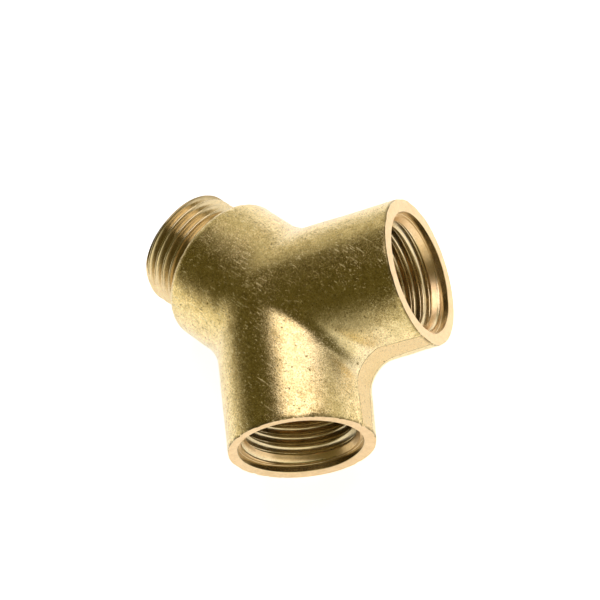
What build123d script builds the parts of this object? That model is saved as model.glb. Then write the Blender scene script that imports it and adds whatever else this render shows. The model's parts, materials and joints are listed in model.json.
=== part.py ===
from build123d import *
import math
import os

# A hot forged and machined brass Y fitting for water pipe: one male inlet and two female outlets.
# Units are millimetres. The origin is the centre of the flat shoulder that the inlet thread ends at.
# The inlet points along -X, the two outlets open towards +X in the XY plane, and +Z is up.
# The threads are size 1/2 parallel pipe threads. Their walls are plain here: the male wall has the
# major radius, and the female walls have the minor radius.

# Parallel pipe thread, size 1/2
THREAD_MAJOR_R = 20.955 / 2
THREAD_MINOR_R = 18.631 / 2

# Layout
SHOULDER_TO_BRANCH = 17.8
OUTLET_HALF_ANGLE = 45.0
OUTLET_REACH = 26.1

# Forged skin
NECK_SHOULDER_R = 13.1
NECK_ROOT_R = 13.35
ARM_MOUTH_R = 13.35
ARM_ROOT_R = 13.3
HUB_R = 13.7
SIDE_BLEND_R = 10.0
CROTCH_BLEND_R = 5.0
SHOULDER_EDGE_R = 1.8

# Flat land left along the parting line, where the forging flash is trimmed off
ARM_LAND_HALF_WIDTH = 12.95
NECK_LAND_HALF_WIDTH = 13.2
LAND_CROTCH_R = 5.4
LAND_SIDE_R = 10.4

# Male inlet, lengths measured outwards from the shoulder
INLET_LENGTH = 9.25
INLET_CHAMFER = 0.7
INLET_BORE_R = 7.25
INLET_BORE_CHAMFER = 0.5

# Female outlets, depths measured inwards from the mouth
COUNTERBORE_R = 11.05
COUNTERBORE_DEPTH = 1.3
LEAD_IN_R = THREAD_MAJOR_R + 0.02
LEAD_IN_ANGLE = 30.0
THREAD_END_DEPTH = 11.5
SEAT_DEPTH = 13.8
RELIEF_R = 10.7
PASSAGE_R = 6.75
PASSAGE_CHAMFER = 0.4

# Flat seal on the seat of each outlet
SEAL_OUTER_R = 9.2
SEAL_INNER_R = 7.3
SEAL_THICKNESS = 2.0
SEAL_EDGE_R = 0.25

# Working sizes: reach of the upright prism that trims the parting line, distance from the branch point
# that holds every corner between two limbs, how far a seam must stay from the shoulder or from the
# middle plane to be told apart, and how far the inlet spigot sinks into the neck
TRIM_REACH = 60.0
JUNCTION_R = 20.0
SHOULDER_CLEARANCE = 1.0
MIDDLE_TOLERANCE = 0.2
SPIGOT_OVERLAP = 1.0


def turned(profile):
    """Solid of revolution about Z, from (radius, height) points that start and end at radius 0."""
    corners = [(radius, 0, height) for radius, height in profile]
    return revolve(make_face(Polyline(*corners, close=True)), Axis.Z, 360)


def at_branch(shape, angle):
    """Lay a shape built along +Z on the XY plane, starting at the branch point, at an angle."""
    return Pos(SHOULDER_TO_BRANCH, 0, 0) * Rot(0, 0, angle) * Rot(0, 90, 0) * shape


def at_shoulder(shape):
    """Lay a shape built along +Z on the XY plane, starting at the shoulder, out of the inlet."""
    return Rot(0, -90, 0) * shape


def limb(root_r, tip_r, length):
    """Tapered round limb, built along +Z."""
    return turned([(0, 0), (root_r, 0), (tip_r, length), (0, length)])


def junction_edges(shape):
    """Edges between limbs, which lie near the branch point and clear of the shoulder."""
    branch_point = Vector(SHOULDER_TO_BRANCH, 0, 0)
    near = [edge for edge in shape.edges() if (edge.center() - branch_point).length < JUNCTION_R]
    return [edge for edge in near if edge.center().X > SHOULDER_CLEARANCE]


def three_limbs():
    """Neck and two arms joined at a round hub, with soft side blends and a tighter one in the crotch."""
    arm = limb(ARM_ROOT_R, ARM_MOUTH_R, OUTLET_REACH)
    neck = limb(NECK_ROOT_R, NECK_SHOULDER_R, SHOULDER_TO_BRANCH)
    shape = at_branch(arm, OUTLET_HALF_ANGLE) + at_branch(arm, -OUTLET_HALF_ANGLE) + at_branch(neck, 180)
    shape += Pos(SHOULDER_TO_BRANCH, 0, 0) * Sphere(HUB_R)
    crotch_x = SHOULDER_TO_BRANCH + ARM_ROOT_R
    side_seams = [edge for edge in junction_edges(shape) if edge.center().X < crotch_x]
    shape = fillet(side_seams, SIDE_BLEND_R)
    beyond = [edge for edge in junction_edges(shape) if edge.center().X > crotch_x]
    crotch_seam = [edge for edge in beyond if abs(edge.center().Y) < MIDDLE_TOLERANCE]
    shape = fillet(crotch_seam, CROTCH_BLEND_R)
    shoulder_edge = shape.edges().group_by(Axis.X)[0]
    return fillet(shoulder_edge, SHOULDER_EDGE_R)


def junction_corners(outline):
    """Corners of the trimmed outline that lie between two limbs."""
    return [corner for corner in outline.vertices() if math.hypot(corner.X, corner.Y) < JUNCTION_R]


def trim_prism():
    """Upright prism with the outline that the trimming die leaves along the parting line."""
    neck = Rectangle(TRIM_REACH, 2 * NECK_LAND_HALF_WIDTH, align=(Align.MAX, Align.CENTER))
    arm = Rectangle(TRIM_REACH, 2 * ARM_LAND_HALF_WIDTH, align=(Align.MIN, Align.CENTER))
    outline = neck + Rot(0, 0, OUTLET_HALF_ANGLE) * arm + Rot(0, 0, -OUTLET_HALF_ANGLE) * arm
    outline = fillet([corner for corner in junction_corners(outline) if corner.X > 0], LAND_CROTCH_R)
    outline = fillet([corner for corner in junction_corners(outline) if corner.X < 0], LAND_SIDE_R)
    return Pos(SHOULDER_TO_BRANCH, 0, -HUB_R) * extrude(outline, 2 * HUB_R)


def inlet_spigot():
    """Male threaded end with a chamfer, built along +Z from the shoulder."""
    wall_end = INLET_LENGTH - INLET_CHAMFER
    tip_r = THREAD_MAJOR_R - INLET_CHAMFER
    return turned([
        (0, -SPIGOT_OVERLAP),
        (THREAD_MAJOR_R, -SPIGOT_OVERLAP),
        (THREAD_MAJOR_R, wall_end),
        (tip_r, INLET_LENGTH),
        (0, INLET_LENGTH),
    ])


def inlet_bore():
    """Water way of the inlet, built along +Z from the branch point, with a chamfer at its mouth."""
    mouth = SHOULDER_TO_BRANCH + INLET_LENGTH
    chamfer_start = mouth - INLET_BORE_CHAMFER
    mouth_r = INLET_BORE_R + INLET_BORE_CHAMFER
    return turned([(0, 0), (INLET_BORE_R, 0), (INLET_BORE_R, chamfer_start), (mouth_r, mouth), (0, mouth)])


def outlet_socket():
    """Space inside an outlet, built along +Z from the branch point to the mouth."""
    seat = OUTLET_REACH - SEAT_DEPTH
    thread_end = OUTLET_REACH - THREAD_END_DEPTH
    counterbore_floor = OUTLET_REACH - COUNTERBORE_DEPTH
    lead_in_length = (LEAD_IN_R - THREAD_MINOR_R) / math.tan(math.radians(LEAD_IN_ANGLE))
    return turned([
        (0, 0),
        (PASSAGE_R, 0),
        (PASSAGE_R, seat - PASSAGE_CHAMFER),
        (PASSAGE_R + PASSAGE_CHAMFER, seat),
        (RELIEF_R, seat),
        (RELIEF_R, thread_end),
        (THREAD_MINOR_R, thread_end),
        (THREAD_MINOR_R, counterbore_floor - lead_in_length),
        (LEAD_IN_R, counterbore_floor),
        (COUNTERBORE_R, counterbore_floor),
        (COUNTERBORE_R, OUTLET_REACH),
        (0, OUTLET_REACH),
    ])


def forged_body():
    """The one brass forging, machined on its inlet and inside its outlets."""
    body = three_limbs() & trim_prism()
    body += at_shoulder(inlet_spigot())
    body -= at_branch(inlet_bore(), 180)
    body -= at_branch(outlet_socket(), OUTLET_HALF_ANGLE)
    body -= at_branch(outlet_socket(), -OUTLET_HALF_ANGLE)
    body -= Pos(SHOULDER_TO_BRANCH, 0, 0) * Sphere(INLET_BORE_R)
    return body


def outlet_seal(angle):
    """Flat rubber ring resting on the seat at the bottom of one outlet."""
    ring = Cylinder(SEAL_OUTER_R, SEAL_THICKNESS) - Cylinder(SEAL_INNER_R, SEAL_THICKNESS)
    ring = fillet(ring.edges().filter_by(GeomType.CIRCLE), SEAL_EDGE_R)
    seat = OUTLET_REACH - SEAT_DEPTH
    return at_branch(Pos(0, 0, seat + SEAL_THICKNESS / 2) * ring, angle)


os.makedirs("parts", exist_ok=True)
export_step(forged_body(), "parts/forged_body.step")
export_step(outlet_seal(OUTLET_HALF_ANGLE), "parts/outlet_seal_left.step")
export_step(outlet_seal(-OUTLET_HALF_ANGLE), "parts/outlet_seal_right.step")
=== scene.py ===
import json
import math

import bpy
import numpy as np
from mathutils import Matrix, Vector, noise


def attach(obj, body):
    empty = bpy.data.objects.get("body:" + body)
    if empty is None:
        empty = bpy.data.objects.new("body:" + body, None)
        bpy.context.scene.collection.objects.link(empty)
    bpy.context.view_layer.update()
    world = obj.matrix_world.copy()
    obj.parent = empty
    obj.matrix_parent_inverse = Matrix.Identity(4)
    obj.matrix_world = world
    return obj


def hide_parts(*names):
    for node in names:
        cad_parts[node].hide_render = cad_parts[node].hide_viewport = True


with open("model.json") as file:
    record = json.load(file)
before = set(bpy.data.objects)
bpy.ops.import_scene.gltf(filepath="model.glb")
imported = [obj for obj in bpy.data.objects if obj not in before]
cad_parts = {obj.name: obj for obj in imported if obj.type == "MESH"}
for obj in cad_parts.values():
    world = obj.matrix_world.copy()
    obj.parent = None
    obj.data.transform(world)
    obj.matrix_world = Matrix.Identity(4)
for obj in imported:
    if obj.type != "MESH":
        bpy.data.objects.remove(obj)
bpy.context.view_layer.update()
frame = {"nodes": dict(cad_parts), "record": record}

# The visual model of a forged brass Y fitting. Geometry is worked out in millimetres from the branch
# point, where the three limb axes meet, and each mesh is turned into metres in the CAD frame at the end.

MOUNTS = {mount["name"]: mount for mount in frame["record"]["mounts"]}
METRE = 1000.0

# Layout, as in the CAD part
SHOULDER_TO_BRANCH = 17.8
OUTLET_REACH = 26.1
HALF_ANGLE = math.radians(45)
UP = np.array([0.0, 0.0, 1.0])
AXES = [
    np.array([-1.0, 0.0, 0.0]),
    np.array([math.cos(HALF_ANGLE), math.sin(HALF_ANGLE), 0.0]),
    np.array([math.cos(HALF_ANGLE), -math.sin(HALF_ANGLE), 0.0]),
]
INLET = 0
LIMB_LENGTHS = [SHOULDER_TO_BRANCH, OUTLET_REACH, OUTLET_REACH]

# Forged limbs: radius at the branch point and at the tip, and how far the tip leans off its axis
ROOT_RADII = [13.4, 13.5, 13.25]
TIP_RADII = [13.2, 13.25, 12.98]
TIP_SHIFTS = [np.array([0, 0.2, 0]), np.array([0, 0, 0.15]), np.array([0, 0, -0.48])]

# Where the limbs meet. The fillet in the crotch changes with the height above the parting line.
HUB_R = 13.5
HUB_SOFTNESS = 0.8
LIMB_SOFTNESS = 0.3
SIDE_BLEND_R = 10.0
CROTCH_HEIGHTS = [0.0, 2.5, 5.0, 8.0, 12.5]
CROTCH_BLEND_RADII = [5.8, 4.8, 4.2, 3.6, 5.5]
SHOULDER_EDGE_R = 1.8

# Flat land along the parting line, and the farthest distance from its edge that is kept
LAND_HALF_WIDTHS = [13.3, 13.1, 12.86]
LAND_SIDE_R = 10.4
LAND_CROTCH_R = 5.4
LAND_EDGE_R = 0.05
TRIM_LIMIT = 1.5

# Low dents of the skin, as the height and width of each wave, and how much flatter the land is
DENT_HEIGHT, DENT_WIDTH = 0.07, 6.0
RIPPLE_HEIGHT, RIPPLE_WIDTH = 0.03, 2.2
LAND_FLATNESS = 0.6

# Chips along the forging's sharp edges, which lie about this far from a limb's axis
EDGE_R = 13.0
CHIP_DEPTH = 0.5

# A small nick where the right outlet's land meets its mouth, placed by its angle about the axis
NICK_DEPTHS = [0.0, 0.0, 0.4]
NICK_ANGLE = math.radians(276)
NICK_WIDTH = math.radians(1.8)

# Thread, size 1/2 parallel pipe: 55 degree flanks with rounded crests and roots
MAJOR_R = MOUNTS["inlet_thread"]["dims"]["r_mm"]
MINOR_R = MOUNTS["outlet_thread_left"]["dims"]["r_mm"]
PITCH = 25.4 / 14
FLANK_ANGLE = math.radians(27.5)
CREST_ARC_R = 0.137329 * PITCH
CREST_ARC_HALF = CREST_ARC_R * math.cos(FLANK_ANGLE) / PITCH

# Male inlet, lengths measured outwards from the shoulder
INLET_LENGTH = 9.25
INLET_CHAMFER = 0.7
INLET_BORE_R = 7.25
INLET_BORE_CHAMFER = 0.5
INLET_CREST_LENGTH = 0.9
INLET_PASSAGE_LENGTH = 14.0
RUN_OUT_LENGTH = 1.5
RUN_OUT_DEPTH = 0.25

# Painted shade on one side of the inlet, where its thread is darkened toward the shade colour: full within
# a length of its end, and thinner on the rest
SHADE_LENGTH = 1.7
SHADE_FADE = 0.8
SHADE_ANGLE = math.radians(60)
SHADE_ON_REST = 0.45

# Female outlets, depths measured inwards from the mouth
COUNTERBORE_R = 11.05
COUNTERBORE_DEPTH = 1.3
LEAD_IN_R = MAJOR_R + 0.02
LEAD_IN_ANGLE = math.radians(30)
THREAD_END_DEPTH = 11.5
SEAT_DEPTH = 13.8
RELIEF_R = 10.7
PASSAGE_R = 6.75
PASSAGE_CHAMFER = 0.4
MOUTH_BREAK = 0.08
COUNTERBORE_BREAK = 0.1
OUTLET_CREST_DEPTHS = [0.0, 2.3, 2.23]

# How worn a turned surface is: 0 for a clean dull cut, 1 for one glossy with oil; above 1 the colour is
# darkened toward painted shade, slightly in the socket threads, more in the counterbores, and fully at 2 on
# the shaded side of the inlet
CONE_WEAR = 0.1
SOCKET_WEAR_AND_SHADE = 1.08
COUNTERBORE_WEAR_AND_SHADE = 1.7
INLET_WEAR = 0.65
INLET_SHADE_LEVEL = 2.0
PASSAGE_WEAR = 1.0

# Mesh density
COLUMNS = 192
SKIN_ROWS = [24, 36, 36]
BORE_ROWS = 12

# Rows round the edge of a mouth: depth below it, and the share of the chips' depth there
MOUTH_EDGE_ROWS = [(0.7, 0.0), (0.45, 0.3), (0.26, 0.65), (0.12, 0.9), (0.0, 1.0)]

# Rows round the shoulder's edge: degrees turned from the skin to the face, and the share of the chips
SHOULDER_EDGE_ROWS = [(0, 0.0), (15, 0.1), (32, 0.3), (48, 0.55), (62, 0.8), (74, 1.0), (84, 1.0)]

# Rows across each flat face, as shares of the way from its outer edge to its inner edge
MOUTH_SHARES = [0.06, 0.25, 0.5, 0.75, 0.93, 1.0]
SHOULDER_SHARES = [0.0, 0.3, 0.75, 0.95, 1.0]
INLET_END_SHARES = [0.06, 0.35, 0.7, 0.94, 1.0]

# Rows inside a counterbore: depth, radius and wear; the wall's high wear paints shade on it
COUNTERBORE_ROWS = [
    (0.1, COUNTERBORE_R, COUNTERBORE_WEAR_AND_SHADE),
    (0.2, COUNTERBORE_R, COUNTERBORE_WEAR_AND_SHADE),
    (0.7, COUNTERBORE_R, COUNTERBORE_WEAR_AND_SHADE),
    (COUNTERBORE_DEPTH - 0.06, COUNTERBORE_R, COUNTERBORE_WEAR_AND_SHADE),
    (COUNTERBORE_DEPTH, COUNTERBORE_R - 0.06, CONE_WEAR),
    (COUNTERBORE_DEPTH, COUNTERBORE_R - 0.25, CONE_WEAR),
    (COUNTERBORE_DEPTH, LEAD_IN_R + 0.05, CONE_WEAR),
    (COUNTERBORE_DEPTH, LEAD_IN_R, CONE_WEAR),
]

# Rows past an outlet's thread, through the tap's pocket and the seat into the passage: depth and radius
SEAT_ROWS = [
    (THREAD_END_DEPTH, MAJOR_R + 0.12),
    (THREAD_END_DEPTH + 0.1, RELIEF_R),
    (THREAD_END_DEPTH + 0.9, RELIEF_R),
    (SEAT_DEPTH - 0.9, RELIEF_R),
    (SEAT_DEPTH - 0.2, RELIEF_R),
    (SEAT_DEPTH, RELIEF_R - 0.2),
    (SEAT_DEPTH, RELIEF_R - 1.5),
    (SEAT_DEPTH, PASSAGE_R + 1.5),
    (SEAT_DEPTH, PASSAGE_R + PASSAGE_CHAMFER + 0.1),
    (SEAT_DEPTH, PASSAGE_R + PASSAGE_CHAMFER),
    (SEAT_DEPTH + PASSAGE_CHAMFER, PASSAGE_R),
    (SEAT_DEPTH + PASSAGE_CHAMFER + 0.1, PASSAGE_R),
]

# Depths of the rows inside the inlet's bore
INLET_BORE_DEPTHS = [INLET_BORE_CHAMFER, INLET_BORE_CHAMFER + 0.12, 3.0, 6.0, 9.0, 12.0]

# Face materials
SKIN, TURNED = 0, 1

# Nearest and farthest place to look for a surface: the skin, its rim, and the water ways
SKIN_REACH = (9.0, 30.0)
RIM_REACH = (9.0, 16.0)
WAY_REACH = (3.0, 14.0)
HALVINGS = 36

# Step for finding the slope of a distance
STEP = 0.02


# ---------------------------------------------------------------------------------------------
# Shape of the forging, as signed distances: negative inside, positive outside
# ---------------------------------------------------------------------------------------------

def smooth_step(value):
    value = np.clip(value, 0, 1)
    return value * value * (3 - 2 * value)


def limb_distance(p, limb, flat=False):
    """Distance from one tapered limb, and the direction it grows in. Flat gives the trimmed outline."""
    axis = AXES[limb]
    along = p @ axis
    share = np.clip(along / LIMB_LENGTHS[limb], 0, 1)
    offset = p - np.maximum(along, 0)[:, None] * axis - share[:, None] * TIP_SHIFTS[limb]
    if flat:
        offset = offset * (1 - UP)
        radius = LAND_HALF_WIDTHS[limb]
    else:
        radius = ROOT_RADII[limb] + (TIP_RADII[limb] - ROOT_RADII[limb]) * share
    reach = np.maximum(np.linalg.norm(offset, axis=1), 1e-9)
    return reach - radius, offset / reach[:, None]


def blend(a, b, fillet_r):
    """Union of two distances, with a rolling ball fillet in the corner between them."""
    (distance_a, normal_a), (distance_b, normal_b) = a, b
    cosine = np.clip(np.sum(normal_a * normal_b, axis=1), -1, 0.9999)
    gap_a, gap_b = fillet_r - distance_a, fillet_r - distance_b
    in_corner = (gap_a > gap_b * cosine) & (gap_b > gap_a * cosine) & (gap_a > 0) & (gap_b > 0)
    span = (gap_a ** 2 + gap_b ** 2 - 2 * gap_a * gap_b * cosine) / (1 - cosine ** 2)
    rounded = fillet_r - np.sqrt(np.maximum(span, 0))
    return np.where(in_corner, rounded, np.minimum(distance_a, distance_b))


def soft_max(a, b, width):
    """Larger of two distances, with the corner rounded over a width."""
    mix = np.clip(0.5 + 0.5 * (a - b) / width, 0, 1)
    return b + (a - b) * mix + width * mix * (1 - mix)


def three_way(p, side_r, crotch_r, flat=False):
    """The three limbs joined, with soft fillets beside the neck and a tighter one in the crotch."""
    limbs = [limb_distance(p, limb, flat) for limb in range(3)]
    left = blend(limbs[0], limbs[1], side_r)
    right = blend(limbs[0], limbs[2], side_r)
    crotch = blend(limbs[1], limbs[2], crotch_r)
    return -soft_max(-crotch, -np.minimum(left, right), LIMB_SOFTNESS)


def round_skin(p):
    """The forging before its flash is trimmed."""
    hub = np.linalg.norm(p, axis=1) - HUB_R
    crotch_r = np.interp(p @ UP, CROTCH_HEIGHTS, CROTCH_BLEND_RADII)
    return -soft_max(-three_way(p, SIDE_BLEND_R, crotch_r), -hub, HUB_SOFTNESS)


def land_outline(p):
    """The outline the flash is trimmed to, as a distance."""
    return three_way(p, LAND_SIDE_R, LAND_CROTCH_R, True)


def skin(p):
    """The forging with flat lands along its parting line."""
    return soft_max(round_skin(p), land_outline(p), LAND_EDGE_R)


def water_way(p):
    """The drilled passages, negative inside the water."""
    distances = [np.linalg.norm(p, axis=1) - INLET_BORE_R]
    for limb, axis in enumerate(AXES):
        along = p @ axis
        radial = np.linalg.norm(p - along[:, None] * axis, axis=1)
        radius = INLET_BORE_R if limb == INLET else PASSAGE_R
        distances.append(np.where(along > 0, radial - radius, 1e3))
    return np.minimum.reduce(distances)


def slope(distance, p):
    """The direction a distance grows in, found from small steps along each axis."""
    rises = [distance(p + STEP * way) - distance(p - STEP * way) for way in np.eye(3)]
    return np.stack(rises, axis=1) / (2 * STEP)


def trimmed(points):
    """Distance from the edge of the trimmed land, above 0 on the land and below 0 off it."""
    gap = land_outline(points) - round_skin(points)
    crossing = np.linalg.norm(np.cross(slope(land_outline, points), slope(round_skin, points)), axis=1)
    return np.clip(gap / np.maximum(crossing, 0.05), -TRIM_LIMIT, TRIM_LIMIT)


# ---------------------------------------------------------------------------------------------
# Mesh builder: rings of columns around each limb axis
# ---------------------------------------------------------------------------------------------

ANGLES = 2 * math.pi * np.arange(COLUMNS) / COLUMNS


def spoke(limb, angles=ANGLES):
    """Unit directions square to a limb axis, from straight up, turning right-handed about the axis."""
    sideways = np.cross(AXES[limb], UP)
    return np.cos(angles)[:, None] * UP + np.sin(angles)[:, None] * sideways


def find_surface(distance, point_at, low, high):
    """Halve the range along each spoke down to the place where a distance turns positive."""
    for _ in range(HALVINGS):
        middle = (low + high) / 2
        outside = distance(point_at(middle)) > 0
        high = np.where(outside, middle, high)
        low = np.where(outside, low, middle)
    return (low + high) / 2


class Shell:
    """Vertices and faces of one closed surface, with a few numbers kept for each vertex."""

    def __init__(self):
        self.points = []
        self.notes = []
        self.faces = []
        self.kinds = []

    def add(self, points, notes):
        """Add points and return their numbers. Notes are (trim, wear, along, radius)."""
        first = len(self.points)
        self.points.extend(points)
        self.notes.extend(notes)
        return np.arange(first, len(self.points))

    def ring(self, limb, along, radius, wear_and_shade=0.0):
        """A ring of columns about a limb axis. Along and radius are numbers or one value per column."""
        along = np.broadcast_to(np.asarray(along, float), COLUMNS)
        radius = np.broadcast_to(np.asarray(radius, float), COLUMNS)
        wear_and_shade = np.broadcast_to(np.asarray(wear_and_shade, float), COLUMNS)
        points = along[:, None] * AXES[limb] + radius[:, None] * spoke(limb)
        notes = np.stack([np.zeros(COLUMNS), wear_and_shade, along, radius], axis=1)
        return self.add(points, notes)

    def face(self, corners, kind):
        """One face, without the corners that repeat the one before."""
        corners = [int(c) for c in corners]
        unique = [c for i, c in enumerate(corners) if c != corners[i - 1]]
        if len(unique) > 2:
            self.faces.append(unique)
            self.kinds.append(kind)

    def band(self, near, far, kind):
        """Faces between two rings, the first nearer the start of the path."""
        for j in range(COLUMNS):
            k = (j + 1) % COLUMNS
            self.face((near[j], near[k], far[k], far[j]), kind)

    def path(self, rings, kind):
        """Bands from each ring to the next."""
        for near, far in zip(rings, rings[1:]):
            self.band(near, far, kind)

    def strip(self, low, high, a, b, low_ring, high_ring, kind):
        """Faces between two neighbouring columns whose rows are numbered along the helix."""
        first, last = max(min(a), min(b)), min(max(a), max(b))
        for row in range(first, last):
            self.face((a[row], b[row], b[row + 1], a[row + 1]), kind)
        self.close_end(low_ring, a, b, first, -1, kind, low, high)
        self.close_end(high_ring, a, b, last, 1, kind, low, high)

    def close_end(self, ring, a, b, row, step, kind, low, high):
        """Faces from the outermost shared row of two columns to the straight ring beyond it."""
        end_a, end_b = a[row], b[row]
        if row + step in a:
            end_a = a[row + step]
            self.face((a[row], b[row], end_a)[::step], kind)
        elif row + step in b:
            end_b = b[row + step]
            self.face((a[row], b[row], end_b)[::step], kind)
        self.face((end_a, end_b, ring[high], ring[low])[::step], kind)

    def thread(self, limb, start_ring, end_ring, place, span, turn, crest, radius_at, kind):
        """Rows that follow the helix. Place gives the position along the limb for a length of path."""
        phases = np.array(HELIX_PHASES)
        count = len(phases)
        margin = 0.5 * PITCH / count
        columns = []
        for j, angle in enumerate(ANGLES):
            rows = {}
            advance = turn * angle / (2 * math.pi)
            first = int((span[0] - crest) / PITCH - advance) * count - 2 * count
            for row in range(first, first + int((span[1] - span[0]) / PITCH + 5) * count):
                phase = phases[row % count]
                length = crest + (row // count + phase + advance) * PITCH
                if span[0] + margin < length < span[1] - margin:
                    rows[row] = (length, phase)
            lengths, row_phases = np.array(list(rows.values())).T
            radii, wear_and_shade = radius_at(lengths, row_phases, angle)
            along = place(lengths)
            points = along[:, None] * AXES[limb] + radii[:, None] * spoke(limb, np.array([angle]))
            notes = np.stack([0 * along, wear_and_shade, along, radii], axis=1)
            numbers = self.add(points, notes)
            columns.append(dict(zip(rows, numbers)))
        for j in range(COLUMNS):
            k = (j + 1) % COLUMNS
            following = columns[k]
            if k == 0:
                following = {row - turn * count: number for row, number in following.items()}
            self.strip(j, k, columns[j], following, start_ring, end_ring, kind)


def crest_profile(phase):
    """Share of the thread depth, 1 at the crest at phase 0 and 0 at the root at phase 0.5."""
    t = np.abs((np.asarray(phase, float) + 0.5) % 1 - 0.5) * PITCH
    half_pitch = PITCH / 2
    arc = CREST_ARC_R * math.cos(FLANK_ANGLE)
    steepness = 1 / math.tan(FLANK_ANGLE)
    height = MAJOR_R - MINOR_R
    drop = CREST_ARC_R * (1 - math.sin(FLANK_ANGLE))
    crest = height - CREST_ARC_R + np.sqrt(np.maximum(CREST_ARC_R ** 2 - t ** 2, 0))
    root = CREST_ARC_R - np.sqrt(np.maximum(CREST_ARC_R ** 2 - (half_pitch - t) ** 2, 0))
    flank = height - drop - steepness * (t - arc)
    return np.where(t < arc, crest, np.where(t > half_pitch - arc, root, flank)) / height


# Phases of the rows in one turn of thread, from crest to root and back
HALF_PHASES = [0.0, 0.06, CREST_ARC_HALF, 0.25, 0.5 - CREST_ARC_HALF, 0.44]
HELIX_PHASES = HALF_PHASES + [0.5] + [1 - phase for phase in HALF_PHASES[:0:-1]]


def waves(limb, seed, coarse, fine):
    """Roughness around a limb, between about -1 and 1, from two scales of noise in millimetres."""
    values = []
    for direction in spoke(limb):
        p = Vector(direction * EDGE_R)
        shift = Vector((7.3 * seed, 3.1 * limb, 5.7))
        values.append(noise.noise(p / coarse + shift) + 0.6 * noise.noise(p / fine + shift * 2))
    return np.array(values)


def edge_chips(limb, seed, width, sparseness, ripple):
    """How far a sharp edge is knocked back at each column, by chips of a width and a fine ripple."""
    chips = np.clip(waves(limb, seed, width, 0.7) - sparseness, 0, 1) * CHIP_DEPTH
    return chips + ripple * waves(limb, seed + 1, 0.9, 0.5)


def seam_rings(shell, distance, reach_range):
    """The three seams where the limbs meet, shared by both limbs beside each. Returns a ring per limb."""
    half = COLUMNS // 2
    low, high = (np.full(half + 1, reach) for reach in reach_range)
    rings = [np.zeros(COLUMNS, int) for _ in AXES]
    poles = None
    for limb in range(3):
        following = (limb + 1) % 3
        middle = AXES[limb] + AXES[following]
        middle = middle / np.linalg.norm(middle)
        sine = np.linalg.norm(np.cross(AXES[limb], middle))
        angles = ANGLES[: half + 1]
        rays = np.sin(angles)[:, None] / sine * middle + np.cos(angles)[:, None] * UP
        reach = find_surface(distance, lambda r: r[:, None] * rays, low, high)
        points = reach[:, None] * rays
        notes = np.stack([trimmed(points), 0 * reach, points @ AXES[limb], reach], axis=1)
        if poles is None:
            poles = shell.add(points[[0, -1]], notes[[0, -1]])
        numbers = np.concatenate([poles[:1], shell.add(points[1:-1], notes[1:-1]), poles[1:]])
        rings[limb][: half + 1] = numbers
        rings[following][half:] = numbers[:0:-1]
        rings[following][0] = numbers[0]
    return rings


def seam_along(limb):
    """How far along a limb its seam lies at each column, for each millimetre of the surface's radius."""
    following, previous = AXES[(limb + 1) % 3], AXES[(limb + 2) % 3]
    cosine = np.where(ANGLES < math.pi, following @ AXES[limb], previous @ AXES[limb])
    half_between = np.arccos(cosine) / 2
    return np.abs(np.sin(ANGLES)) / np.tan(half_between)


def limb_rows(shell, distance, limb, seam, ends, rows, reach_range):
    """Rings from the seam out to a place along the limb, each column found on the surface."""
    low, high = reach_range
    start = np.array(shell.points)[seam] @ AXES[limb]
    spokes = spoke(limb)
    limit = seam_along(limb)
    rings = []
    for row in range(1, rows + 1):
        along = start + (ends - start) * row / rows
        reach = np.where(limit > 1e-6, along / np.maximum(limit, 1e-6), high)
        reach = np.minimum(reach, high)
        radius = find_surface(distance, lambda r: along[:, None] * AXES[limb] + r[:, None] * spokes,
                              np.full(COLUMNS, low), reach)
        points = along[:, None] * AXES[limb] + radius[:, None] * spokes
        notes = np.stack([trimmed(points), 0 * radius, along, radius], axis=1)
        rings.append(shell.add(points, notes))
    return rings


def skin_radius(limb, along):
    """Radius of the skin at each column, at a place along the limb."""
    spokes = spoke(limb)
    along = np.broadcast_to(np.asarray(along, float), COLUMNS)
    low, high = (np.full(COLUMNS, reach) for reach in RIM_REACH)
    return find_surface(skin, lambda r: along[:, None] * AXES[limb] + r[:, None] * spokes, low, high)


def skin_ring(shell, limb, along, radius, wear_and_shade):
    """A ring of forged skin near a machined edge."""
    numbers = shell.ring(limb, along, radius, wear_and_shade)
    depths = trimmed(np.array(shell.points)[numbers])
    for number, depth in zip(numbers, depths):
        shell.notes[number][0] = depth
    return numbers


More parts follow.
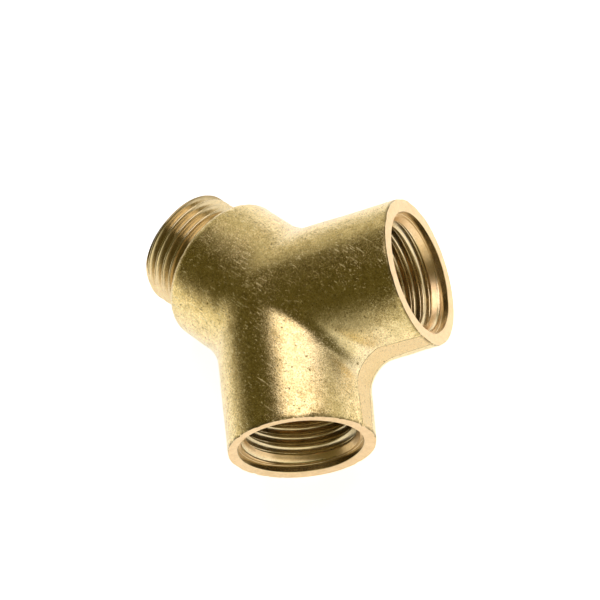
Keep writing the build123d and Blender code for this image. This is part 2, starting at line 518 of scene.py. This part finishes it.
def outlet(shell, limb, skin_seam, bore_seam):
    """Skin, mouth, socket and passage of one female outlet."""
    reach = OUTLET_REACH
    rings = [skin_seam] + limb_rows(shell, skin, limb, skin_seam, reach - 1.0, SKIN_ROWS[limb], SKIN_REACH)
    chips = edge_chips(limb, 1, 1.6, 0.25, 0.03)
    chips = chips + NICK_DEPTHS[limb] * np.exp(-((ANGLES - NICK_ANGLE) / NICK_WIDTH) ** 2)
    outer = skin_radius(limb, reach - 0.5)
    for depth, share in MOUTH_EDGE_ROWS:
        rings.append(skin_ring(shell, limb, reach - depth, outer - (chips + MOUTH_BREAK) * share, share))
    shell.path(rings, SKIN)

    lip = outer - chips - MOUTH_BREAK
    rings = [rings[-1]]
    inner = COUNTERBORE_R + COUNTERBORE_BREAK
    for share in MOUTH_SHARES:
        rings.append(shell.ring(limb, reach, lip + (inner - lip) * share))
    for depth, radius, wear_and_shade in COUNTERBORE_ROWS:
        rings.append(shell.ring(limb, reach - depth, radius, wear_and_shade))
    shell.path(rings, TURNED)
    thread_start = rings[-1]

    def radius_at(depth, phase, _angle):
        thread = MAJOR_R - (MAJOR_R - MINOR_R) * crest_profile(phase)
        lead_in = LEAD_IN_R - (depth - COUNTERBORE_DEPTH) * math.tan(LEAD_IN_ANGLE)
        return np.maximum(thread, lead_in), np.where(lead_in > thread, CONE_WEAR, SOCKET_WEAR_AND_SHADE)

    crest = OUTLET_CREST_DEPTHS[limb] + PITCH / 2
    end_phase = (THREAD_END_DEPTH - crest) / PITCH + ANGLES / (2 * math.pi)
    end_radius, _ = radius_at(np.full(COLUMNS, THREAD_END_DEPTH), end_phase, ANGLES)
    thread_end = shell.ring(limb, reach - THREAD_END_DEPTH, end_radius, SOCKET_WEAR_AND_SHADE)
    shell.thread(limb, thread_start, thread_end, lambda depth: reach - depth,
                 (COUNTERBORE_DEPTH, THREAD_END_DEPTH), -1, crest, radius_at, TURNED)

    rings = [thread_end]
    for depth, radius in SEAT_ROWS:
        rings.append(shell.ring(limb, reach - depth, radius, PASSAGE_WEAR))
    way_end = reach - SEAT_DEPTH - PASSAGE_CHAMFER - 0.1 - 0.5
    way = limb_rows(shell, water_way, limb, bore_seam, way_end, BORE_ROWS, WAY_REACH)
    shell.path(rings + way[::-1] + [bore_seam], TURNED)


def inlet(shell, skin_seam, bore_seam):
    """Skin, shoulder, male thread, end face and bore of the inlet."""
    limb = INLET
    shoulder = SHOULDER_TO_BRANCH
    start = shoulder - SHOULDER_EDGE_R
    rings = [skin_seam] + limb_rows(shell, skin, limb, skin_seam, start - 0.4, SKIN_ROWS[limb], SKIN_REACH)
    outer = skin_radius(limb, start)
    chips = edge_chips(limb, 3, 1.8, 0.15, 0.04)
    for degrees, share in SHOULDER_EDGE_ROWS:
        angle = math.radians(degrees)
        along = start + SHOULDER_EDGE_R * math.sin(angle)
        radius = outer - SHOULDER_EDGE_R * (1 - math.cos(angle)) - chips * share
        rings.append(skin_ring(shell, limb, along, radius, share))
    shell.path(rings, SKIN)

    edge = outer - SHOULDER_EDGE_R - chips
    root = MAJOR_R - RUN_OUT_DEPTH
    rings = [rings[-1]]
    for share in SHOULDER_SHARES:
        rings.append(shell.ring(limb, shoulder, edge + (root - edge) * share))
    shell.path(rings, TURNED)
    thread_start = rings[-1]

    def radius_at(length, phase, angle):
        thread = MINOR_R + (MAJOR_R - MINOR_R) * crest_profile(phase)
        cut = smooth_step(length / RUN_OUT_LENGTH)
        chamfer = MAJOR_R - (length - (INLET_LENGTH - INLET_CHAMFER))
        cut_thread = root + (thread - root) * cut
        # Painted shade: one side of the thread, fully near its end and thinner further in, is darkened
        # toward the shade colour
        side_shade = smooth_step((length - INLET_LENGTH + SHADE_LENGTH) / SHADE_FADE)
        side_shade = np.maximum(side_shade, SHADE_ON_REST) * smooth_step(0.5 + 0.8 * np.cos(angle - SHADE_ANGLE))
        return np.minimum(cut_thread, chamfer), INLET_WEAR + (INLET_SHADE_LEVEL - INLET_WEAR) * side_shade

    crest = INLET_CREST_LENGTH
    end_phase = (INLET_LENGTH - crest) / PITCH - ANGLES / (2 * math.pi)
    end_radius, end_wear_and_shade = radius_at(np.full(COLUMNS, INLET_LENGTH), end_phase, ANGLES)
    end = shoulder + INLET_LENGTH
    thread_end = shell.ring(limb, end, end_radius, end_wear_and_shade)
    shell.thread(limb, thread_start, thread_end, lambda length: shoulder + length,
                 (0.0, INLET_LENGTH), 1, crest, radius_at, TURNED)

    rings = [thread_end]
    inner = INLET_BORE_R + INLET_BORE_CHAMFER
    for share in INLET_END_SHARES:
        rings.append(shell.ring(limb, end, end_radius + (inner - end_radius) * share))
    for depth in INLET_BORE_DEPTHS:
        rings.append(shell.ring(limb, end - depth, INLET_BORE_R))
    way_end = end - INLET_PASSAGE_LENGTH
    way = limb_rows(shell, water_way, limb, bore_seam, way_end, BORE_ROWS, WAY_REACH)
    shell.path(rings + way[::-1] + [bore_seam], TURNED)


def to_object(name, shell, materials):
    """Turn a shell into a mesh object, moved from the branch point into the CAD frame, in metres."""
    points = (np.array(shell.points) + np.array([SHOULDER_TO_BRANCH, 0, 0])) / METRE
    mesh = bpy.data.meshes.new(name)
    mesh.from_pydata(points.tolist(), [], shell.faces)
    for material in materials:
        mesh.materials.append(material)
    mesh.polygons.foreach_set("material_index", np.array(shell.kinds, np.int32))
    notes = np.array(shell.notes)
    for column, title in enumerate(("trim", "wear_and_shade", "along", "radius")):
        attribute = mesh.attributes.new(title, "FLOAT", "POINT")
        attribute.data.foreach_set("value", notes[:, column].astype(np.float32))
    mesh.polygons.foreach_set("use_smooth", np.ones(len(mesh.polygons), bool))
    mesh.set_sharp_from_angle(angle=math.radians(38))
    mesh.validate()
    mesh.update()
    piece = bpy.data.objects.new(name, mesh)
    bpy.context.scene.collection.objects.link(piece)
    return piece


def roughen_skin(shell):
    """Low dents and waves of a hot forging, square to the skin and fading out at the machined edges."""
    points = np.array(shell.points)
    notes = np.array(shell.notes)
    used = np.zeros(len(points), bool)
    for corners, kind in zip(shell.faces, shell.kinds):
        if kind == SKIN:
            used[corners] = True
    numbers = np.nonzero(used)[0]
    p = points[numbers]
    growth = slope(round_skin, p)
    normals = growth / np.linalg.norm(growth, axis=1)[:, None]
    for number, point, normal in zip(numbers, p, normals):
        dent = DENT_HEIGHT * noise.noise(Vector(point / DENT_WIDTH))
        ripple = RIPPLE_HEIGHT * noise.noise(Vector(point / RIPPLE_WIDTH) + Vector((9, 4, 1)))
        fade = 1 - notes[number][1]
        flatness = LAND_FLATNESS if notes[number][0] > 0 else 0.0
        shell.points[number] = points[number] + normal * (dent + ripple) * fade * (1 - flatness)


# ---------------------------------------------------------------------------------------------
# Materials
# ---------------------------------------------------------------------------------------------

# Brass skin from the bottom to the top of its grain, and the colours that lie over it, one of them a
# painted lightening in the crotch
BRASS_TONES = [(0.38, (0.48, 0.375, 0.16)), (0.5, (0.87, 0.69, 0.35)), (0.62, (0.99, 0.87, 0.52))]
DULL_PATCH = (0.69, 0.57, 0.27, 1)
PAINTED_CROTCH_LIGHT = (0.97, 0.90, 0.70, 1)
TRIMMED_LAND = (0.68, 0.51, 0.27, 1)
BRIGHT_MARK = (1.0, 0.92, 0.62, 1)
GRIME = (0.17, 0.12, 0.035, 1)

# Turned brass, from its darker to its lighter blotches, and the painted shade colour laid over it
CLEAN_TONES = [(0.35, (0.80, 0.57, 0.30)), (0.65, (0.88, 0.65, 0.37))]
OILED_TONES = [(0.35, (0.71, 0.60, 0.37)), (0.65, (0.82, 0.69, 0.43))]
PAINTED_SHADE = (0.20, 0.14, 0.05, 1)

# Middle of the skin between the two outlets, in metres, where a lighter colour is painted over the warm
# reflections between the limbs, and the directions scratches lie in
CROTCH_CENTRE = (0.037, 0.0, 0.005)
MARK_TURNS = [(0.2, 0.5, 0.3), (1.1, 0.2, 1.4), (0.4, 1.3, 2.3), (2.0, 0.9, 0.8), (0.7, 2.2, 2.9)]


class Nodes:
    """A small helper that adds nodes to one material and links them."""

    def __init__(self, name):
        self.material = bpy.data.materials.new(name)
        self.material.use_nodes = True
        self.tree = self.material.node_tree
        self.tree.nodes.clear()
        self.output = self.tree.nodes.new("ShaderNodeOutputMaterial")
        self.shader = self.tree.nodes.new("ShaderNodeBsdfPrincipled")
        self.tree.links.new(self.shader.outputs["BSDF"], self.output.inputs["Surface"])

    def add(self, kind, settings=None, **inputs):
        node = self.tree.nodes.new(kind)
        for key, value in (settings or {}).items():
            setattr(node, key, value)
        for key, value in inputs.items():
            self.put(node.inputs[key.replace("_", " ")], value)
        return node

    def put(self, socket, value):
        if isinstance(value, bpy.types.NodeSocket):
            self.tree.links.new(value, socket)
        else:
            socket.default_value = value

    def math(self, operation, a, b=0.0, c=0.0):
        node = self.tree.nodes.new("ShaderNodeMath")
        node.operation = operation
        for socket, value in zip(node.inputs, (a, b, c)):
            self.put(socket, value)
        return node.outputs[0]

    def ramp(self, value, stops):
        node = self.tree.nodes.new("ShaderNodeValToRGB")
        self.put(node.inputs[0], value)
        elements = node.color_ramp.elements
        while len(elements) < len(stops):
            elements.new(1.0)
        for element, (position, colour) in zip(elements, stops):
            element.position = position
            element.color = (*colour, 1)
        return node.outputs["Color"]

    def mix(self, share, a, b, blend_type="MIX"):
        node = self.tree.nodes.new("ShaderNodeMix")
        node.data_type = "RGBA"
        node.blend_type = blend_type
        colour_inputs = [socket for socket in node.inputs if socket.type == "RGBA"]
        self.put(node.inputs[0], share)
        self.put(colour_inputs[0], a)
        self.put(colour_inputs[1], b)
        return [socket for socket in node.outputs if socket.type == "RGBA"][0]

    def noise(self, vector, per_mm, detail, roughness):
        """Noise with about this many features to a millimetre."""
        node = self.add("ShaderNodeTexNoise", Vector=vector, Scale=per_mm * METRE)
        node.inputs["Detail"].default_value = detail
        node.inputs["Roughness"].default_value = roughness
        return node.outputs["Fac"]

    def distance(self, vector, point):
        node = self.add("ShaderNodeVectorMath", {"operation": "DISTANCE"})
        self.put(node.inputs[0], vector)
        self.put(node.inputs[1], point)
        return node.outputs["Value"]

    def attribute(self, name):
        return self.add("ShaderNodeAttribute", {"attribute_name": name}).outputs["Fac"]

    def position(self):
        return self.add("ShaderNodeTexCoord").outputs["Object"]

    def bump(self, height, strength, distance_mm, normal=None):
        node = self.add("ShaderNodeBump", Strength=strength, Distance=distance_mm / METRE, Height=height)
        if normal is not None:
            self.put(node.inputs["Normal"], normal)
        return node.outputs["Normal"]


def grey(value):
    return (value, value, value)


def scratches(n, place, seed, turns, along, across, cut):
    """Short straight marks lying in a few directions: 1 on a mark and 0 between marks."""
    marks = 0.0
    for index, turn in enumerate(turns):
        shift = (0.013 * seed, 0.007 * index, 0.011 * seed)
        turned = n.add("ShaderNodeMapping", Vector=place, Location=shift, Rotation=turn,
                       Scale=(along, across, across))
        value = n.noise(turned.outputs[0], 1.0, 0.0, 0.5)
        mark = n.ramp(value, [(cut, grey(0)), (cut + 0.03, grey(1))])
        marks = n.math("MAXIMUM", marks, mark)
    return marks


def forged_brass():
    """Blasted and tumbled forging skin: fine grain, pits, bright and dark scratches, dull patches, and a
    painted lightening in the crotch.
    """
    n = Nodes("forged_brass_skin")
    place = n.position()
    trim = n.attribute("trim")
    wear_and_shade = n.attribute("wear_and_shade")
    land = n.ramp(trim, [(0.0, grey(0)), (0.15, grey(1))])
    edge = n.math("ABSOLUTE", n.math("ADD", trim, 0.03))
    burr = n.ramp(edge, [(0.05, grey(1)), (0.11, grey(0))])
    grain = n.noise(place, 3.2, 4.0, 0.75)
    mottle = n.noise(place, 0.7, 4.0, 0.65)
    patches = n.noise(place, 0.14, 2.0, 0.6)
    nibs = scratches(n, place, 1, MARK_TURNS[:3], 1.6, 5.0, 0.79)
    long_marks = scratches(n, place, 3, MARK_TURNS, 0.26, 4.6, 0.80)
    dark_marks = scratches(n, place, 2, MARK_TURNS[:3], 0.5, 4.0, 0.78)
    clusters = n.ramp(n.noise(place, 0.25, 2.0, 0.5), [(0.40, grey(0.35)), (0.62, grey(1))])
    bright_marks = n.math("MULTIPLY", n.math("MAXIMUM", nibs, long_marks), clusters)
    pits = n.ramp(n.noise(place, 1.7, 2.0, 0.5), [(0.29, grey(1)), (0.33, grey(0))])
    grit = n.noise(place, 4.4, 2.0, 0.6)
    specks = n.ramp(grit, [(0.53, grey(0)), (0.66, grey(1))])
    flecks = n.ramp(grit, [(0.33, grey(0.4)), (0.41, grey(0))])
    crotch_light = n.ramp(n.distance(place, CROTCH_CENTRE), [(0.004, grey(0.3)), (0.0095, grey(0))])

    colour = n.ramp(grain, BRASS_TONES)
    tint = n.ramp(mottle, [(0.35, (0.72, 0.70, 0.60)), (0.6, (1, 1, 1))])
    colour = n.mix(1.0, colour, tint, "MULTIPLY")
    colour = n.mix(n.ramp(patches, [(0.42, grey(0)), (0.6, grey(0.35))]), colour, DULL_PATCH)
    # Painted light: the skin round the middle of the crotch is painted paler to offset the warm reflections
    # between the two outlets
    colour = n.mix(crotch_light, colour, PAINTED_CROTCH_LIGHT)
    colour = n.mix(n.math("MULTIPLY", land, 0.8), colour, TRIMMED_LAND)
    colour = n.mix(n.math("MULTIPLY", bright_marks, 0.7), colour, BRIGHT_MARK)
    hollows = n.math("MAXIMUM", n.math("MULTIPLY", pits, 0.8), n.math("MULTIPLY", dark_marks, 0.6))
    hollows = n.math("MAXIMUM", hollows, flecks)
    ragged = n.ramp(n.noise(place, 0.9, 4.0, 0.7), [(0.42, grey(0)), (0.5, grey(1))])
    hollows = n.math("MAXIMUM", hollows, n.math("MULTIPLY", ragged, wear_and_shade))
    line = n.math("MULTIPLY", burr, n.ramp(mottle, [(0.36, grey(0.2)), (0.52, grey(0.85))]))
    hollows = n.math("MAXIMUM", hollows, line)
    colour = n.mix(hollows, colour, GRIME)

    n.put(n.shader.inputs["Base Color"], colour)
    n.put(n.shader.inputs["Metallic"], 1.0)
    rough = n.math("MULTIPLY_ADD", grain, 0.16, 0.12)
    dull = n.math("MAXIMUM", n.math("MULTIPLY", specks, 0.16), n.math("MULTIPLY", hollows, 0.25))
    rough = n.math("ADD", rough, n.math("MAXIMUM", dull, n.math("MULTIPLY", bright_marks, 0.3)))
    n.put(n.shader.inputs["Roughness"], rough)
    normal = n.bump(mottle, 0.35, 0.08)
    normal = n.bump(grain, 0.6, 0.05, normal)
    normal = n.bump(n.math("ADD", bright_marks, pits), 0.5, -0.03, normal)
    n.put(n.shader.inputs["Normal"], normal)
    return n.material


def turned_brass():
    """Turned brass with fine concentric tool marks, olive with cutting oil inside threads and bores, and
    darkened with painted shade in the counterbores and on one side of the inlet.
    """
    n = Nodes("turned_brass")
    place = n.position()
    marks = n.add("ShaderNodeCombineXYZ", X=n.attribute("along"), Y=n.attribute("radius"), Z=0.0).outputs[0]
    rings = n.add("ShaderNodeTexNoise", Vector=marks, Scale=9.0, Detail=3.0, Roughness=0.7).outputs["Fac"]
    blotch = n.noise(place, 0.7, 3.0, 0.6)
    speckle = n.noise(place, 3.5, 3.0, 0.7)
    clean = n.ramp(blotch, CLEAN_TONES)
    oiled = n.ramp(blotch, OILED_TONES)
    wear_and_shade = n.attribute("wear_and_shade")
    colour = n.mix(wear_and_shade, clean, oiled)
    # Painted shade: where the wear passes 1, the colour goes toward a dark shade colour
    colour = n.mix(n.math("MULTIPLY_ADD", wear_and_shade, 0.7, -0.7), colour, PAINTED_SHADE)
    colour = n.mix(1.0, colour, n.ramp(speckle, [(0.3, grey(0.8)), (0.6, grey(1))]), "MULTIPLY")
    n.put(n.shader.inputs["Base Color"], colour)
    n.put(n.shader.inputs["Metallic"], 1.0)
    polish = n.math("MULTIPLY_ADD", wear_and_shade, -0.07, 0.25)
    n.put(n.shader.inputs["Roughness"], n.math("MULTIPLY_ADD", rings, 0.12, polish))
    groove = n.math("MAXIMUM", n.math("MULTIPLY_ADD", wear_and_shade, -0.5, 0.65), 0.05)
    normal = n.bump(rings, groove, 0.05)
    n.put(n.shader.inputs["Normal"], n.bump(speckle, 0.3, 0.03, normal))
    return n.material


def seal_rubber():
    """Black moulded rubber with a faint dusty bloom."""
    n = Nodes("seal_rubber")
    grain = n.noise(n.position(), 5.0, 4.0, 0.6)
    bloom = n.noise(n.position(), 0.5, 3.0, 0.6)
    n.put(n.shader.inputs["Base Color"], n.ramp(bloom, [(0.35, grey(0.012)), (0.7, grey(0.035))]))
    n.put(n.shader.inputs["Roughness"], n.math("MULTIPLY_ADD", grain, 0.25, 0.5))
    n.put(n.shader.inputs["Normal"], n.bump(grain, 0.3, 0.03))
    return n.material


def build_body():
    shell = Shell()
    skin_seams = seam_rings(shell, skin, SKIN_REACH)
    bore_seams = seam_rings(shell, water_way, WAY_REACH)
    inlet(shell, skin_seams[0], bore_seams[0])
    for limb in (1, 2):
        outlet(shell, limb, skin_seams[limb], bore_seams[limb])
    roughen_skin(shell)
    piece = to_object("brass_y_body", shell, [forged_brass(), turned_brass()])
    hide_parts("forged_body")
    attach(piece, "root")


def build_seals():
    rubber = seal_rubber()
    for name in ("outlet_seal_left", "outlet_seal_right"):
        node = frame["nodes"][name]
        node.data.materials.clear()
        node.data.materials.append(rubber)


# ---------------------------------------------------------------------------------------------
# Stage, light and camera
# ---------------------------------------------------------------------------------------------

BRANCH = Vector((SHOULDER_TO_BRANCH, 0, 0)) / METRE

# The camera's own axes, and its place from the branch point
VIEW_RIGHT = Vector((0.68246, 0.56392, -0.46503))
VIEW_UP = Vector((-0.44297, 0.82516, 0.35055))
VIEW_BACK = Vector((0.58140, -0.03324, 0.81294))
CAMERA_OFFSET = Vector((0.40739, -0.02032, 0.56889))
CAMERA_LENS = 237.3

# Floor, just under the limbs, and the soft boxes' distance and colours
FLOOR_REACH = 3.0
FLOOR_LEVEL = -13.72 / METRE
LIGHT_DISTANCE = 0.6
PINKISH = (0.71, 0.64, 0.655)
WARM = (0.87, 0.82, 0.69)

# Name, azimuth and elevation in degrees, width and height in metres, radiance and colour
SOFT_BOXES = [
    ("softbox_high", 92.5, 47.8, (0.50, 0.62), 3.0, PINKISH),
    ("softbox_side", 143, 20, (0.56, 0.34), 0.52, WARM),
    ("softbox_left", -128, 9, (0.56, 0.30), 0.9, WARM),
    ("fill_behind", 66, 12, (0.46, 0.26), 0.5, WARM),
    ("softbox_low", -29, 18, (0.68, 0.42), 0.95, WARM),
]

# Colour of the room by how high a direction points: level or lower, and high up
ROOM_STOPS = [(0.0, (0.55, 0.49, 0.34, 1)), (0.44, (0.108, 0.088, 0.02, 1))]


def studio_direction(azimuth, elevation):
    """A direction from the object, in degrees round from +X toward +Y and up from the floor."""
    azimuth, elevation = math.radians(azimuth), math.radians(elevation)
    flat = math.cos(elevation)
    return Vector((flat * math.cos(azimuth), flat * math.sin(azimuth), math.sin(elevation)))


def add_camera():
    data = bpy.data.cameras.new("camera")
    data.sensor_width = 36
    data.lens = CAMERA_LENS
    data.clip_start = 0.01
    camera = bpy.data.objects.new("camera", data)
    bpy.context.scene.collection.objects.link(camera)
    turn = Matrix((VIEW_RIGHT, VIEW_UP, VIEW_BACK)).transposed()
    camera.matrix_world = turn.to_4x4()
    camera.location = BRANCH + CAMERA_OFFSET
    bpy.context.scene.camera = camera


def soft_box(name, azimuth, elevation, size, brightness, colour):
    """A rectangular light facing the object, with its brightness given as radiance."""
    data = bpy.data.lights.new(name, "AREA")
    data.shape = "RECTANGLE"
    data.size, data.size_y = size
    data.energy = brightness * math.pi * size[0] * size[1]
    data.color = colour
    light = bpy.data.objects.new(name, data)
    bpy.context.scene.collection.objects.link(light)
    direction = studio_direction(azimuth, elevation)
    light.location = BRANCH + direction * LIGHT_DISTANCE
    light.rotation_euler = direction.to_track_quat("Z", "Y").to_euler()


def add_stage():
    """A white floor that glows enough to look evenly lit, and less so behind the object."""
    mesh = bpy.data.meshes.new("floor")
    sides = [(-1, -1), (1, -1), (1, 1), (-1, 1)]
    corners = [(FLOOR_REACH * x, FLOOR_REACH * y, FLOOR_LEVEL) for x, y in sides]
    mesh.from_pydata(corners, [], [(0, 1, 2, 3)])
    floor = bpy.data.objects.new("floor", mesh)
    bpy.context.scene.collection.objects.link(floor)
    n = Nodes("floor_white")
    n.put(n.shader.inputs["Base Color"], (0.9, 0.9, 0.9, 1))
    n.put(n.shader.inputs["Roughness"], 0.9)
    n.put(n.shader.inputs["Emission Color"], (1, 1, 1, 1))
    behind = n.add("ShaderNodeSeparateXYZ", Vector=n.position()).outputs["Y"]
    glow = n.ramp(behind, [(0.05, grey(0.85)), (0.14, grey(0.35))])
    n.put(n.shader.inputs["Emission Strength"], glow)
    mesh.materials.append(n.material)


def add_room():
    """Dim warm room around the soft boxes, brightest towards its floor."""
    world = bpy.data.worlds.new("studio")
    world.use_nodes = True
    tree = world.node_tree
    direction = tree.nodes.new("ShaderNodeTexCoord")
    height = tree.nodes.new("ShaderNodeSeparateXYZ")
    glow = tree.nodes.new("ShaderNodeValToRGB")
    for element, (position, colour) in zip(glow.color_ramp.elements, ROOM_STOPS):
        element.position = position
        element.color = colour
    tree.links.new(direction.outputs["Generated"], height.inputs[0])
    tree.links.new(height.outputs["Z"], glow.inputs[0])
    tree.links.new(glow.outputs["Color"], tree.nodes["Background"].inputs["Color"])
    bpy.context.scene.world = world


build_body()
build_seals()
add_stage()
for box in SOFT_BOXES:
    soft_box(*box)
add_room()
add_camera()
bpy.context.scene.view_settings.view_transform = "Standard"
